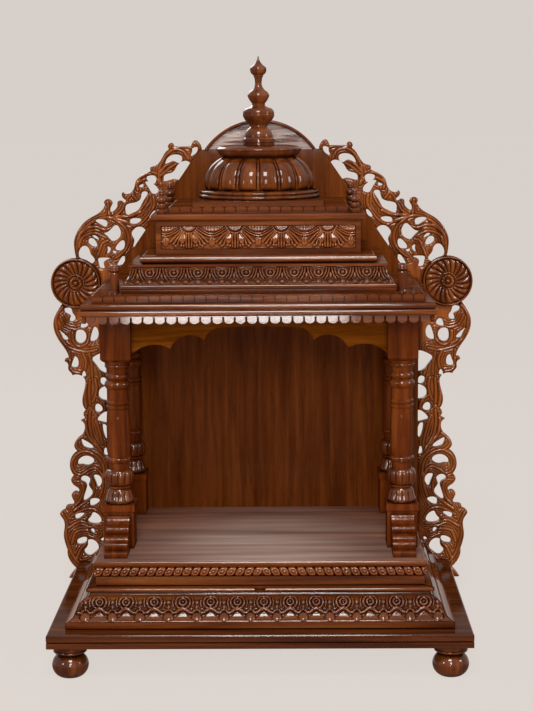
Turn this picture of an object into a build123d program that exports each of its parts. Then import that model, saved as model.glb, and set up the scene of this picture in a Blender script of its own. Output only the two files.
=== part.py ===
from build123d import *
from math import cos, radians, sin
import os

# Household shrine in carved teak, in millimetres.
# X runs across the front, Y runs from the front to the back, Z is up.
# The origin is at floor level, in the middle of the whole object.

# Feet and base slab
slab_width = 762
slab_depth = 484
slab_thick = 26
slab_lip = 10.5
slab_groove = 2.5
slab_groove_depth = 3
slab_round = 3.5
foot_height = 60
foot_radius = 33
foot_inset = 38

# Base frame with its drawer
fascia_inset = 31
fascia_height = 11
fascia_ledge = 3
ogee_rise = 37.5
ogee_run = 32
ogee_bow = 3
cove_rise = 8
cove_run = 6
rib_rise = 9
rib_setback = 4
rib_bow = 2.5
frame_inset = 84
frame_thick = 28
seam = 2
slide_gap = 5
running_gap = 0.3
notch_width = 20
notch_height = 6
notch_depth = 10
board_thick = 8
tray_height = 58
tray_skid = 5

# Deck over the drawer
deck_inset = 82
deck_thick = 16
riser_inset = 8
rope_size = 18
rope_proud = 5
rope_lap = 3
floor_inset = 79
floor_thick = 11
floor_nose = 4
housing = 3

# Pillars, let into the floor board
pillar_size = 56
pillar_inset = 117.25
pillar_front_inset = 167
pillar_foot_height = 71
pillar_plate = 12
pillar_lip = 2
pillar_turning = 269
pillar_head_height = 95
head_chamfer = 5

# Consoles before the front pillars
console_width = 42
console_reach = 68
console_height = 64

# Scalloped arch: cusps and lobe tops by distance from its ends and height over the floor board
arch_setback = 18
arch_thick = 15
arch_spring = 363.5
arch_crown = 416.5
arch_crown_end = 154
arch_outer_lobe = (51, 381.5)
arch_outer_cusp = (72, 374.5)
arch_inner_lobe = (107, 399.5)
arch_inner_cusp = (135, 389.5)
arch_flank = (144, 404.5)
arch_shoulder = (162, 413)

# Eave with its hanging trim
eave_inset = 63
eave_front = 85
eave_thick = 22
trim_height = 14
trim_thick = 6
trim_setback = 4
trim_pitch = 20.3
trim_web = 1.5
trim_share = 0.82
trim_bow = 4.5

# Stepped roof: each step in from the tier below at the sides and at the front
dentil_step = 20
dentil_height = 14
dentil_pitch = 20.4
dentil_proud = 3
frieze_step = 50
frieze_setback = 30
frieze_height = 50
frieze_cove = 13
torus_step = 33
torus_setback = 27
torus_size = 15
box_step = 28
box_height = 61
box_border = 9
box_recess = 3
platform_lap = 9
platform_front_lap = 6
platform_thick = 12
small_dentil_step = 31
small_dentil_height = 12
small_dentil_pitch = 20.9
small_dentil_proud = 2.5

# Dome on its plinth and ring
plinth_half = 120
plinth_height = 10
dome_rear_gap = 38
dome_ring_radius = 112
dome_ring_height = 15
dome_foot_radius = 101
dome_waist_radius = 99
dome_waist_height = 18
dome_shoulder_radius = 94.5
dome_shoulder_height = 37
dome_curve_radius = 85
dome_curve_height = 51
dome_neck_radius = 74
dome_height = 61
dome_lobes = 16
lobe_swell = 4
disc_radius = 80
disc_height = 22

# Finials
finial_height = 166
knob_height = 44
knob_inset = 19.5
knob_front_inset = 20
knob_rear_inset = 67
corner_finial_height = 50
corner_side_step = 12
corner_front_inset = 16

# Back board, gable and crest
panel_thick = 16
panel_inset = 65
gable_step = 194
gable_rise = 281.5
gable_bevel = 3
crest_step = 11
crest_rise = 59
crest_rim = 6
crest_proud = 6

# Rosettes and wings beside the back board
rosette_offset = 58
rosette_rise = 16.5
rosette_radius = 50
rosette_thick = 24
rosette_rim = 6
rosette_dish = 7
rosette_button = 17
wing_thick = 16

# Derived levels
depth = slab_depth + panel_thick
front = -depth / 2
back = front + slab_depth
slab_half = slab_width / 2
slab_top = foot_height + slab_thick
fascia_top = slab_top + seam + fascia_height
ogee_top = fascia_top + ogee_rise
cove_top = ogee_top + cove_rise
frame_top = cove_top + rib_rise
deck_top = frame_top + deck_thick
floor_low = deck_top + rope_size
floor_top = floor_low + floor_thick
plate_low = floor_top + pillar_foot_height
turning_low = plate_low + pillar_plate
head_low = turning_low + pillar_turning
eave_low = head_low + pillar_head_height
eave_top = eave_low + eave_thick
dentil_top = eave_top + dentil_height
frieze_top = dentil_top + frieze_height
torus_top = frieze_top + torus_size
box_top = torus_top + box_height
platform_top = box_top + platform_thick
small_dentil_top = platform_top + small_dentil_height
plinth_top = small_dentil_top + plinth_height
ring_top = plinth_top + dome_ring_height
dome_top = ring_top + dome_height
disc_top = dome_top + disc_height
gable_top = eave_low + gable_rise


def block(x0, x1, y0, y1, z0, z1):
    return Pos((x0 + x1) / 2, (y0 + y1) / 2, (z0 + z1) / 2) * Box(x1 - x0, y1 - y0, z1 - z0)


def outline(points):
    """Closed outline; a third value on a point bows the edge that ends there."""
    edges = []
    for a, b in zip(points, points[1:] + points[:1]):
        if a[:2] == b[:2]:
            continue
        if len(b) == 3 and b[2]:
            edges.append(SagittaArc(a[:2], b[:2], b[2]))
        else:
            edges.append(Line(a[:2], b[:2]))
    return make_face(Curve() + edges)


def turned(points, low=0, size=1, rise=1):
    """Solid turned about Z: radius times size, height times rise over low, then a bulge."""
    run = [(p[0] * size, low + p[1] * rise) + tuple(-b * size for b in p[2:]) for p in points]
    section = [(0, run[0][1])] + run + [(0, run[-1][1])]
    return revolve(Plane.XZ * outline(section), Axis.Z)


def tier(points, half, front_y):
    """Mitred tier: one profile of insets and heights shapes the front and both sides."""
    run = [(back, points[0][1])]
    run += [(front_y + p[0], p[1]) + tuple(p[2:]) for p in points]
    run += [(back, points[-1][1])]
    along = extrude(Plane.YZ * outline(run), half, both=True)
    flank = [(0, points[0][1])]
    flank += [(half - p[0], p[1]) + tuple(-b for b in p[2:]) for p in points]
    flank += [(0, points[-1][1])]
    right = Pos(0, back, 0) * extrude(Plane.XZ * outline(flank), back - front_y)
    return along & (right + mirror(right, Plane.YZ))


def mitre(half, front_y, gap, low, high):
    """Plan wedge that holds the front run of a mitred frame."""
    reach = half - gap
    plan = [(-reach, front_y), (reach, front_y), (0, front_y + reach)]
    return Pos(0, 0, low) * extrude(outline(plan), high - low)


def tongues(length, pitch, reach, web, share, bow, thick):
    """Row of tongues with bowed ends under a thin web, each a share of the pitch wide."""
    count = round(length / pitch)
    step = length / count
    half = step * share / 2
    points = [(-length / 2, 0)]
    for i in range(count):
        x = (i + 0.5) * step - length / 2
        points += [(x - half, 0), (x - half, bow - reach)]
        points += [(x + half, bow - reach, -bow), (x + half, 0)]
    points += [(length / 2, 0), (length / 2, web), (-length / 2, web)]
    return extrude(Plane.XZ * outline(points), thick)


def dentil_rows(core, half, front_y, low, pitch, height, proud):
    """Core with rows of round-topped dentils on its front and sides."""
    def row(length):
        return mirror(tongues(length, pitch, height - 2, 2, 0.88, 2.5, proud), Plane.XY)

    side = Pos(half, (front_y + back) / 2, low + 2) * Rot(0, 0, 90) * row(back - front_y)
    face = Pos(0, front_y, low + 2) * row(2 * (half + proud))
    return core + face + side + mirror(side, Plane.YZ)


def cusped(stretches):
    """Closed outline of stretches that meet in cusps: a straight line, or a curve through points."""
    edges = []
    for stretch, following in zip(stretches, stretches[1:] + stretches[:1]):
        run = stretch + following[:1]
        edges.append(Line(*run) if len(run) == 2 else Spline(*run))
    return make_face(Curve() + edges)


def both_sides(name, piece):
    parts[name + "_right"] = piece
    parts[name + "_left"] = mirror(piece, Plane.YZ)


parts = {}

# Bun feet
foot = turned([
    (0.62, 0), (0.62, 0.68, 0.38), (0.86, 0.74), (0.86, 0.82, 0.06), (0.95, 1),
], 0, foot_radius, foot_height)
for place, y in {"front": front + foot_inset, "rear": back - foot_inset}.items():
    both_sides("foot_" + place, Pos(slab_half - foot_inset, y, 0) * foot)

# Base slab with a groove round its edge
groove_low = foot_height + slab_lip
groove_high = groove_low + slab_groove
parts["base_slab"] = tier([
    (0, foot_height), (0, groove_low), (slab_groove_depth, groove_low),
    (slab_groove_depth, groove_high), (0, groove_high), (0, slab_top - slab_round),
    (slab_round, slab_top, 1),
], slab_half, front)

# Base frame: side mouldings, and the drawer front that closes it
ogee_foot = fascia_inset + fascia_ledge
ogee_head = ogee_foot + ogee_run
rib_inset = ogee_head + cove_run - rib_setback


def base_run(low, high):
    face = [
        (fascia_inset, low), (fascia_inset, fascia_top), (ogee_foot, fascia_top),
        ((ogee_foot + ogee_head) / 2, (fascia_top + ogee_top) / 2, -ogee_bow),
        (ogee_head, ogee_top, ogee_bow), (ogee_head + cove_run, cove_top, -rib_bow),
        (rib_inset, cove_top), (rib_inset, high, rib_bow), (frame_inset, high),
    ]
    hollow = [(frame_inset - frame_thick, low), (frame_inset, ogee_top), (frame_inset, high)]
    return tier(face, slab_half, front) - tier(hollow, slab_half, front)


wedge = mitre(slab_half, front, 0, foot_height, floor_low)
sides = base_run(slab_top, frame_top) - wedge
both_sides("base_moulding", sides & block(0, slab_half, front, back, foot_height, floor_low))
drawer_low = slab_top + seam
drawer_high = frame_top - seam
drawer_face = base_run(drawer_low, drawer_high)
drawer_face &= mitre(slab_half, front, seam, foot_height, floor_low)
notch_back = front + rib_inset + notch_depth
notch_low = drawer_high - notch_height
notch = block(-notch_width / 2, notch_width / 2, front, notch_back, notch_low, drawer_high)
parts["drawer_front"] = drawer_face - notch

# Drawer tray that slides on the lower edges of its sides
tray_half = slab_half - frame_inset - slide_gap
tray_front = front + frame_inset
tray_back = back - slide_gap
tray_low = slab_top + running_gap
tray_high = tray_low + tray_height
well_low = tray_low + tray_skid + board_thick
well_half = tray_half - board_thick
tray = block(-tray_half, tray_half, tray_front, tray_back, tray_low, tray_high)
tray -= block(-well_half, well_half, tray_front + board_thick, tray_back - board_thick,
              well_low, tray_high)
tray -= block(-well_half, well_half, tray_front, tray_back, tray_low, tray_low + tray_skid)
parts["drawer_tray"] = tray

# Deck, rope moulding and floor board
deck_half = slab_half - deck_inset
deck_front = front + deck_inset
riser_front = deck_front + riser_inset
parts["deck"] = tier([
    (0, frame_top), (0, deck_top), (riser_inset, deck_top), (riser_inset, floor_low),
], deck_half, deck_front)
parts["rope_moulding"] = extrude(Plane.YZ * outline([
    (riser_front, deck_top), (riser_front, floor_low), (riser_front - rope_proud, floor_low),
    (riser_front - rope_proud, deck_top, -rope_size / 2),
]), deck_half + rope_lap, both=True)
floor_board = tier([
    (2, floor_low), (0, floor_low + floor_nose), (0, floor_top - floor_nose, 0.5),
    (floor_nose, floor_top, 1.2),
], slab_half - floor_inset, front + floor_inset)

# Turned pillars with square feet and heads
pillar_half = pillar_size / 2
pillar_x = slab_half - pillar_inset
pillar_face = front + pillar_front_inset


def pillar(y):
    def square(half, low, high):
        return block(pillar_x - half, pillar_x + half, y - half, y + half, low, high)

    head = square(pillar_half, head_low, eave_low)
    head = chamfer(head.edges().group_by(Axis.Z)[0], head_chamfer)
    lip = pillar_half + pillar_lip
    shaft = turned([
        (24, 0), (26, 4, 1), (20.5, 24, -3.5), (18, 28), (21.5, 30), (21.5, 33), (19, 35),
        (24, 48, 2.5), (20, 62, 2.5), (18, 64), (19.5, 78), (22, 81, 1), (22, 86, 0.8), (20, 88),
        (21.5, 120, 1), (20, 178, 1), (21.5, 181), (21.5, 184), (19.5, 186), (21.5, 190),
        (21.5, 193), (19.5, 195), (19.5, 215), (20.5, 217), (20.5, 231, 3.5), (18.5, 233),
        (20.5, 236), (20.5, 243, 1), (18.5, 246), (20, 254), (22, 257), (22, 262, 1), (25, 269),
    ], turning_low, pillar_size / 56, pillar_turning / 269)
    foot_block = square(pillar_half, floor_top - housing, plate_low)
    return foot_block + square(lip, plate_low, turning_low) + Pos(pillar_x, y, 0) * shaft + head


pillar_front_y = pillar_face + pillar_half
pillar_rear_y = back - pillar_half - pillar_lip
front_pillar = pillar(pillar_front_y)
rear_pillar = pillar(pillar_rear_y)
both_sides("pillar_front", front_pillar)
both_sides("pillar_rear", rear_pillar)

# Stepped scroll consoles before the front pillars
console = [
    (pillar_face - p[0] * console_reach, floor_top + p[1] * console_height)
    + tuple(b * console_reach for b in p[2:]) for p in [
        (0, 0), (0, 1), (0.12, 1), (0.14, 0.95), (0.4, 0.79, 0.05), (0.52, 0.66, -0.04),
        (0.5, 0.57), (0.7, 0.54), (0.72, 0.5), (0.84, 0.43, 0.02), (0.92, 0.32, -0.03),
        (0.88, 0.2), (0.98, 0.17), (1, 0.13), (1, 0),
    ]
]
console = extrude(Plane.YZ * outline(console), console_width / 2, both=True)
console_foot = block(-console_width / 2, console_width / 2, pillar_face - console_reach, pillar_face,
                     floor_top - housing, floor_top)
console = Pos(pillar_x, 0, 0) * (console + console_foot)
both_sides("console", console)
for piece in (front_pillar, rear_pillar, console):
    floor_board -= piece + mirror(piece, Plane.YZ)
parts["floor_board"] = floor_board

# Scalloped arch between the front pillars
arch_half = pillar_x - pillar_half
arch_back = pillar_face + arch_setback + arch_thick


def arch_point(spot):
    return (arch_half - spot[0], floor_top + spot[1])


spring = arch_point((0, arch_spring))
outer_cusp = arch_point(arch_outer_cusp)
inner_cusp = arch_point(arch_inner_cusp)
shoulder = arch_point(arch_shoulder)
crown = (0, floor_top + arch_crown)
scallops = Curve() + [
    ThreePointArc(spring, arch_point(arch_outer_lobe), outer_cusp),
    ThreePointArc(outer_cusp, arch_point(arch_inner_lobe), inner_cusp),
    ThreePointArc(inner_cusp, arch_point(arch_flank), shoulder), Line(shoulder, crown), Line(crown, (0, eave_low)),
    Line((0, eave_low), (arch_half, eave_low)), Line((arch_half, eave_low), spring),
]
arch_right = Pos(0, arch_back, 0) * extrude(Plane.XZ * make_face(scallops), arch_thick)
parts["arch_board"] = arch_right + mirror(arch_right, Plane.YZ)

# Eave and its hanging trim
eave_half = slab_half - eave_inset
eave_y = front + eave_front
eave_middle = (eave_low + eave_top) / 2
parts["eave"] = tier([
    (2, eave_low), (2, eave_middle - 1, 2.5), (5, eave_middle - 1), (5, eave_middle + 1),
    (3, eave_middle + 1), (3, eave_top - 1, 2), (18, eave_top),
], eave_half, eave_y)
trim_y = eave_y + trim_setback
trim_half = eave_half - trim_setback
trim_low = eave_low - trim_web
trim_front = tongues(2 * (trim_half - trim_thick), trim_pitch, trim_height - trim_web, trim_web,
                     trim_share, trim_bow, trim_thick)
parts["trim_front"] = Pos(0, trim_y + trim_thick, trim_low) * trim_front
trim_side = Rot(0, 0, 90) * tongues(back - trim_y, trim_pitch, trim_height - trim_web, trim_web,
                                    trim_share, trim_bow, trim_thick)
both_sides("trim", Pos(trim_half - trim_thick, (trim_y + back) / 2, trim_low) * trim_side)

# Dentil tier
dentil_half = eave_half - dentil_step
dentil_y = eave_y + dentil_step
core_half = dentil_half - dentil_proud
core_y = dentil_y + dentil_proud
dentil_core = tier([(0, eave_top), (0, dentil_top)], core_half, core_y)
parts["dentil_tier"] = dentil_rows(dentil_core, core_half, core_y, eave_top, dentil_pitch,
                                   dentil_height, dentil_proud)

# Frieze, torus and box
frieze_half = dentil_half - frieze_step
frieze_y = dentil_y + frieze_setback
parts["frieze_tier"] = tier([
    (0, dentil_top), (0, dentil_top + 6, 1.5), (1, dentil_top + 7), (1, dentil_top + 14, 1.5),
    (3, dentil_top + 15), (3 + frieze_cove, frieze_top - 4, -4), (1 + frieze_cove, frieze_top - 4),
    (1 + frieze_cove, frieze_top),
], frieze_half, frieze_y)
torus_half = frieze_half - torus_step
torus_y = frieze_y + torus_setback
torus_round = torus_size / 2
box_half = torus_half - box_step
box_y = torus_y + box_step
box = tier([
    (torus_round, frieze_top), (torus_round, torus_top, torus_round), (box_step, torus_top),
    (box_step, box_top),
], torus_half, torus_y)
recess_low = torus_top + box_border
recess_high = box_top - box_border
recess_half = box_half - box_border
box -= block(-recess_half, recess_half, box_y, box_y + box_recess, recess_low, recess_high)
side_recess = block(box_half - box_recess, box_half, box_y + box_border, back - box_border,
                    recess_low, recess_high)
parts["box_tier"] = box - side_recess - mirror(side_recess, Plane.YZ)

# Platform with a smaller step over it, and the plinth of the dome
platform_half = box_half + platform_lap
platform_y = box_y - platform_front_lap
small_step = small_dentil_step + small_dentil_proud
parts["platform"] = dentil_rows(tier([
    (3, box_top), (0, box_top + 3), (0, platform_top - 3, 1), (2, platform_top),
    (small_step, platform_top), (small_step, small_dentil_top),
], platform_half, platform_y), platform_half - small_step, platform_y + small_step, platform_top,
    small_dentil_pitch, small_dentil_height, small_dentil_proud)
dome_y = back - dome_rear_gap - dome_ring_radius
parts["dome_plinth"] = block(-plinth_half, plinth_half, dome_y - plinth_half, dome_y + plinth_half,
                             small_dentil_top, plinth_top)

# Melon dome on its ring, with a disc over it
dome_place = Pos(0, dome_y, 0)
lobe_angle = 360 / dome_lobes


def lobed(radius, z):
    """Ring of outward lobes; one valley between lobes faces the front."""
    angles = [radians(i * lobe_angle - 90) for i in range(dome_lobes)]
    valleys = [(radius * cos(a), radius * sin(a)) for a in angles]
    arcs = [SagittaArc(a, b, -lobe_swell) for a, b in zip(valleys, valleys[1:] + valleys[:1])]
    return Pos(0, 0, z) * make_face(Curve() + arcs)


ring = turned([(0, 0), (dome_ring_radius, 0), (dome_ring_radius, dome_ring_height, 3)], plinth_top)
melon = loft([
    lobed(dome_foot_radius, ring_top), lobed(dome_waist_radius, ring_top + dome_waist_height),
    lobed(dome_shoulder_radius, ring_top + dome_shoulder_height),
    lobed(dome_curve_radius, ring_top + dome_curve_height), lobed(dome_neck_radius, dome_top),
])
parts["dome"] = dome_place * (ring + melon)
parts["dome_disc"] = dome_place * turned([
    (disc_radius - 12, 0), (disc_radius - 10, 2.5), (disc_radius - 1, 11, 1.5), (disc_radius, 13),
    (disc_radius, 17, 1), (disc_radius - 4, 20), (disc_radius - 20, 22),
], dome_top, 1, disc_height / 22)

# Turned finials
parts["finial"] = dome_place * turned([
    (30, 0), (30, 4), (28.8, 5), (30, 6), (30, 12), (27.5, 15), (16.5, 35, 3), (16.5, 38), (19, 41),
    (29.5, 54, 1), (30, 60, 0.6), (22.5, 71, 2.5), (12.5, 76, -0.6), (12.5, 80), (20.7, 93, 0.8),
    (20.3, 97, 0.5), (15.5, 103, 0.6), (6.3, 118, -2.2), (7, 125), (9.8, 132, -0.5), (9.4, 133.5),
    (15.5, 142, 1.5), (12.5, 150, 1.5), (0.8, 169, -2.6),
], disc_top, finial_height / 169, finial_height / 169)
knob = turned([
    (9, 0), (9, 6), (6, 9), (8.5, 16, 1), (5, 20, 1), (9.5, 25, 1), (6, 31, 1), (4, 34), (5, 38, 1),
    (1, 44, 2),
], platform_top, knob_height / 44, knob_height / 44)
knob_x = platform_half - knob_inset
both_sides("knob_front", Pos(knob_x, platform_y + knob_front_inset, 0) * knob)
both_sides("knob_rear", Pos(knob_x, back - knob_rear_inset, 0) * knob)
corner = turned([
    (9, 0), (8, 3), (8, 34), (7, 36), (10, 39), (10, 43, 1), (2, 50, 3),
], dentil_top, corner_finial_height / 50, corner_finial_height / 50)
corner_x = frieze_half + corner_side_step
both_sides("corner_finial", Pos(corner_x, frieze_y + corner_front_inset, 0) * corner)

# Back board with its gable, and the crest on top
panel_half = slab_half - panel_inset
gable_half = panel_half - gable_step
panel_blank = Pos(0, back + panel_thick, 0) * extrude(Plane.XZ * outline([
    (-panel_half, foot_height), (panel_half, foot_height), (panel_half, eave_low),
    (gable_half, gable_top), (-gable_half, gable_top), (-panel_half, eave_low),
]), panel_thick)
slants = panel_blank.edges().filter_by(lambda e: e.center().Y < back + 1)
slants = slants.filter_by(lambda e: e.center().Z > eave_low + 1 and e.center().Z < gable_top - 1)
parts["back_board"] = chamfer(slants, gable_bevel)
crest_half = gable_half - crest_step


def bow(inset):
    half = crest_half - inset
    return outline([(-half, gable_top), (half, gable_top), (-half, gable_top, inset - crest_rise)])


crest = Pos(0, back + panel_thick, 0) * extrude(Plane.XZ * bow(0), panel_thick)
rim = Pos(0, back, 0) * extrude(Plane.XZ * (bow(0) - bow(crest_rim)), crest_proud)
parts["crest_board"] = crest + rim

# Rosettes: a dish with a raised rim and a button, turned and set upright
rosette_x = panel_half + rosette_offset
rosette_z = eave_low + rosette_rise
rosette_place = Pos(rosette_x, back + panel_thick, rosette_z)
dish = rosette_thick - rosette_dish
rosette = Rot(90, 0, 0) * turned([
    (rosette_radius, 0), (rosette_radius, rosette_thick - 3), (rosette_radius - 3, rosette_thick, 1),
    (rosette_radius - rosette_rim, rosette_thick - 1, 0.5), (rosette_radius - rosette_rim - 2, dish),
    (rosette_button + 2, dish), (rosette_button, dish + 3), (1, rosette_thick, 3),
])
both_sides("rosette", rosette_place * rosette)
rosette_seat = Rot(90, 0, 0) * Cylinder(rosette_radius, 4 * rosette_thick)
rosette_seat = rosette_place * rosette_seat

# Fretwork wings of scrolled leaves. Their points are offsets in millimetres
# outwards from the edge of the back board, and down or up from the rosette's centre.
lower_edge = [
    [(86, 40), (94, 52), (104, 71), (106, 87), (99, 111), (88, 128), (79, 143)],
    [(76.5, 154), (83, 154)], [(85, 160), (78, 170), (78, 177), (73, 183)],
    [(70, 189), (62, 187), (53, 189), (45, 197), (45, 212), (51, 238), (50, 251)],
    [(44.5, 260), (49.5, 268)], [(46, 277)], [(56, 282), (49, 288), (49, 304)],
    [(55, 313), (65, 322), (70, 333)], [(63, 346), (72, 352), (80, 372), (79.5, 382)],
    [(72, 397), (78, 409), (72, 418), (63, 425)], [(64, 433), (72, 431), (78, 437), (77, 444)],
    [(73, 452), (76, 458), (84, 459)],
    [(91, 469), (98, 471), (103, 477), (97, 489), (94, 501), (96.5, 522), (93, 543)],
    [(89.5, 554), (89, 567), (82, 582)], [(72, 593), (81, 603)], [(88, 613)], [(86, 614.5)],
    [(69, 614.5), (44, 598)], [(0, 587)], [(0, 62), (16, 62)], [(30, 55)], [(36, 22)], [(76, 22)],
]
lower_holes = [
    [(80, 51), (68, 54), (66, 61), (61, 69), (66, 78), (73, 77), (71, 67), (81, 60)],
    [(51, 86), (39, 78), (36, 85), (43, 91)],
    [(53, 95), (41, 102), (41, 114), (54, 123), (60, 119), (62, 107)],
    [(20, 90), (15, 100), (22, 117), (30, 119), (29, 102)],
    [(96, 95), (82, 106), (77, 115), (83, 116), (90, 106)],
    [(62, 150), (57, 159), (61, 172), (71, 171), (69, 160)], [(44, 182), (44, 191), (51, 190)],
    [(15, 145), (-8, 147), (-8, 172), (0, 184), (10, 181), (22, 167), (29, 157)],
    [(10, 194), (2, 196), (2, 209), (9, 209)],
    [(8, 213), (-8, 215), (-8, 238), (10, 239), (18, 230), (13, 216)],
    [(15, 250), (14, 264), (22, 265), (26, 256)], [(19, 276), (-8, 272), (-8, 286), (14, 285)],
    [(8, 290), (0, 304), (3, 321), (10, 305)], [(51, 322), (35, 341), (48, 338), (55, 327)],
    [(4, 341), (4, 356), (10, 349)],
    [(64, 372), (54, 358), (39, 357), (30, 365), (44, 376), (56, 374)],
    [(58, 403), (47, 398), (39, 405), (42, 416), (35, 430), (40, 442), (53, 450), (48, 427),
     (50, 412)], [(29, 396), (18, 400), (16, 413), (23, 422), (28, 410)],
    [(41, 458), (29, 445), (21, 448), (32, 460)], [(72, 487), (60, 476), (53, 477), (60, 485)],
    [(34, 475), (22, 482), (18, 493), (36, 499), (46, 493), (38, 481)],
    [(39, 510), (33, 512), (34, 520), (38, 517)],
    [(69, 541), (62, 529), (49, 529), (50, 536), (62, 543)],
    [(45, 533), (34, 534), (25, 550), (34, 561), (46, 567), (55, 557), (48, 546)],
    [(20, 532), (14, 529), (17, 537)],
]
upper_edge = [
    [(55, 44), (59, 65), (59, 88), (48, 111), (31, 128), (6, 143)],
    [(-4, 157), (-4, 166), (-11, 168), (-19, 161), (-15, 152)],
    [(-16, 142), (-25, 148), (-29, 156), (-30, 163), (-36, 165)],
    [(-41, 161), (-46, 165), (-40, 171), (-38, 177)],
    [(-41, 182), (-47, 178), (-57, 182), (-64, 193), (-67, 204), (-77, 214), (-87, 219)],
    [(-97, 224), (-97, 231), (-106, 234), (-113, 239), (-122, 253)],
    [(-135, 267), (-133, 275), (-139, 279)], [(-144, 272)], [(-178, 272), (-190, 283), (-197, 275)],
    [(-199, 265)], [(-199, 258)], [(-16, -7)], [(29, -7)],
]
upper_holes = [
    [(49, 51), (48, 69), (39, 75), (30, 69), (27, 59), (19, 46), (30, 38)],
    [(15, 126), (2, 128), (-8, 122), (-6, 114), (8, 119)],
    [(3, 103), (-13, 106), (-26, 116), (-34, 106), (-31, 91), (-18, 84), (-5, 96)],
    [(22, 96), (14, 94), (10, 87)], [(29, 89), (16, 84), (14, 74), (23, 74)],
    [(-25, 74), (-42, 82), (-40, 70), (-30, 65)], [(-9, 73), (-13, 66), (-5, 58), (-7, 66)],
    [(-19, 65), (-25, 62), (-20, 59)], [(2, 51), (-12, 49), (1, 41), (0, 30), (7, 30), (12, 41)],
    [(-26, 37), (-42, 50), (-38, 37), (-29, 35)],
    [(-45, 141), (-50, 158), (-64, 161), (-75, 168), (-80, 182), (-89, 182), (-82, 166), (-73, 150),
     (-54, 139)], [(-53, 123), (-66, 130), (-76, 127), (-68, 120)],
    [(-58, 104), (-80, 110), (-88, 98), (-70, 74), (-59, 72), (-61, 86)],
    [(-86, 202), (-100, 199), (-111, 182), (-103, 178), (-89, 195)],
    [(-93, 214), (-108, 206), (-104, 199), (-90, 205)], [(-74, 195), (-82, 197), (-78, 191)],
    [(-126, 239), (-132, 250), (-148, 256), (-160, 250), (-155, 239), (-139, 243)],
    [(-122, 206), (-126, 216), (-141, 221), (-150, 234), (-172, 242), (-178, 232), (-160, 204),
     (-146, 207), (-130, 204)], [(-183, 269), (-191, 269), (-186, 257), (-177, 253), (-180, 262)],
    [(-97, 139), (-105, 144), (-103, 135), (-94, 129)],
]


def wing(stretches, holes, up):
    """Flat wing between rosette and back board, pierced by smooth holes."""
    def spot(p):
        return (panel_half + p[0], rosette_z + p[1] * up)

    face = cusped([[spot(p) for p in run] for run in stretches])
    for hole in holes:
        face -= make_face(Curve() + [Spline(*[spot(p) for p in hole], periodic=True)])
    solid = Pos(0, back + wing_thick, 0) * extrude(Plane.XZ * face, wing_thick)
    return solid - rosette_seat - panel_blank


both_sides("wing_lower", wing(lower_edge, lower_holes, -1))
both_sides("wing_upper", wing(upper_edge, upper_holes, 1))

os.makedirs("parts", exist_ok=True)
for name, piece in parts.items():
    export_step(piece, os.path.join("parts", name + ".step"))
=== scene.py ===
import math

import bpy
import numpy as np
from mathutils import Matrix, Vector


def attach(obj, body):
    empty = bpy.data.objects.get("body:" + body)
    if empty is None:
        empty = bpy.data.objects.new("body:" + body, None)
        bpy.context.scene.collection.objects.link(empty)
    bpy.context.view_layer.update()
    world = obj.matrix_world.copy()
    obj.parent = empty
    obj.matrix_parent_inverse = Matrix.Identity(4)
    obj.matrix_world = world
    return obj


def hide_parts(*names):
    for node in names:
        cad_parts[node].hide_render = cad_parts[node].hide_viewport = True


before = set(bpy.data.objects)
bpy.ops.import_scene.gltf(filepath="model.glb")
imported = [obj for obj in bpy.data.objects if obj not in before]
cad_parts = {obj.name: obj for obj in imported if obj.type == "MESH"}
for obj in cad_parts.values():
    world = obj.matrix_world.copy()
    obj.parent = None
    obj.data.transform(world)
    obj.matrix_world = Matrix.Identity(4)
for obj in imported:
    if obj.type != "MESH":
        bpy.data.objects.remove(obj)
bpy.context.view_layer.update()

# Carved teak household shrine: camera, light, lacquered wood and the hand carving that rides on the
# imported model. Lengths are metres for the camera, the lamps and the materials, and millimetres in the
# carving functions, whose points add_piece scales by MM. Angles are radians.
MM = 0.001

# Camera at the photograph's place; the lens and the sensor are in millimetres
CAMERA_PLACE = (0.0573, -3.0995, 1.0305)
CAMERA_PITCH_DOWN, CAMERA_YAW, CAMERA_ROLL = 0.15407, 0.01444, -0.00801
LENS, SENSOR_HEIGHT = 84.43, 36.0


def add_camera():
    data = bpy.data.cameras.new("camera")
    data.sensor_fit = "VERTICAL"
    data.sensor_height = SENSOR_HEIGHT
    data.lens = LENS
    camera = bpy.data.objects.new("camera", data)
    bpy.context.scene.collection.objects.link(camera)
    level = math.pi / 2
    turn = Matrix.Rotation(CAMERA_YAW, 4, "Z") @ Matrix.Rotation(level - CAMERA_PITCH_DOWN, 4, "X")
    turn = turn @ Matrix.Rotation(CAMERA_ROLL, 4, "Z")
    camera.matrix_world = Matrix.Translation(CAMERA_PLACE) @ turn
    bpy.context.scene.camera = camera


# Shader nodes
NOISE_DETAIL = 3.0


def link(source, socket):
    socket.id_data.links.new(source, socket)


def empty_tree(owner):
    owner.use_nodes = True
    owner.node_tree.nodes.clear()
    return owner.node_tree.nodes


def math_node(nodes, operation, *values):
    node = nodes.new("ShaderNodeMath")
    node.operation = operation
    for socket, value in zip(node.inputs, values):
        if isinstance(value, (int, float)):
            socket.default_value = value
        else:
            link(value, socket)
    return node.outputs[0]


def product(nodes, first, second):
    return math_node(nodes, "MULTIPLY", first, second)


def ramp_node(nodes, fac, stops):
    node = nodes.new("ShaderNodeValToRGB")
    link(fac, node.inputs[0])
    ramp = node.color_ramp
    while len(ramp.elements) < len(stops):
        ramp.elements.new(0.5)
    for element, (place, colour) in zip(ramp.elements, stops):
        element.position = place
        element.color = (*colour, 1.0)
    return node.outputs[0]


def noise_node(nodes, vector, scale, rough=0.5, distortion=0.0):
    node = nodes.new("ShaderNodeTexNoise")
    link(vector, node.inputs["Vector"])
    node.inputs["Scale"].default_value = scale
    node.inputs["Detail"].default_value = NOISE_DETAIL
    node.inputs["Roughness"].default_value = rough
    node.inputs["Distortion"].default_value = distortion
    return node.outputs[0]


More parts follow.
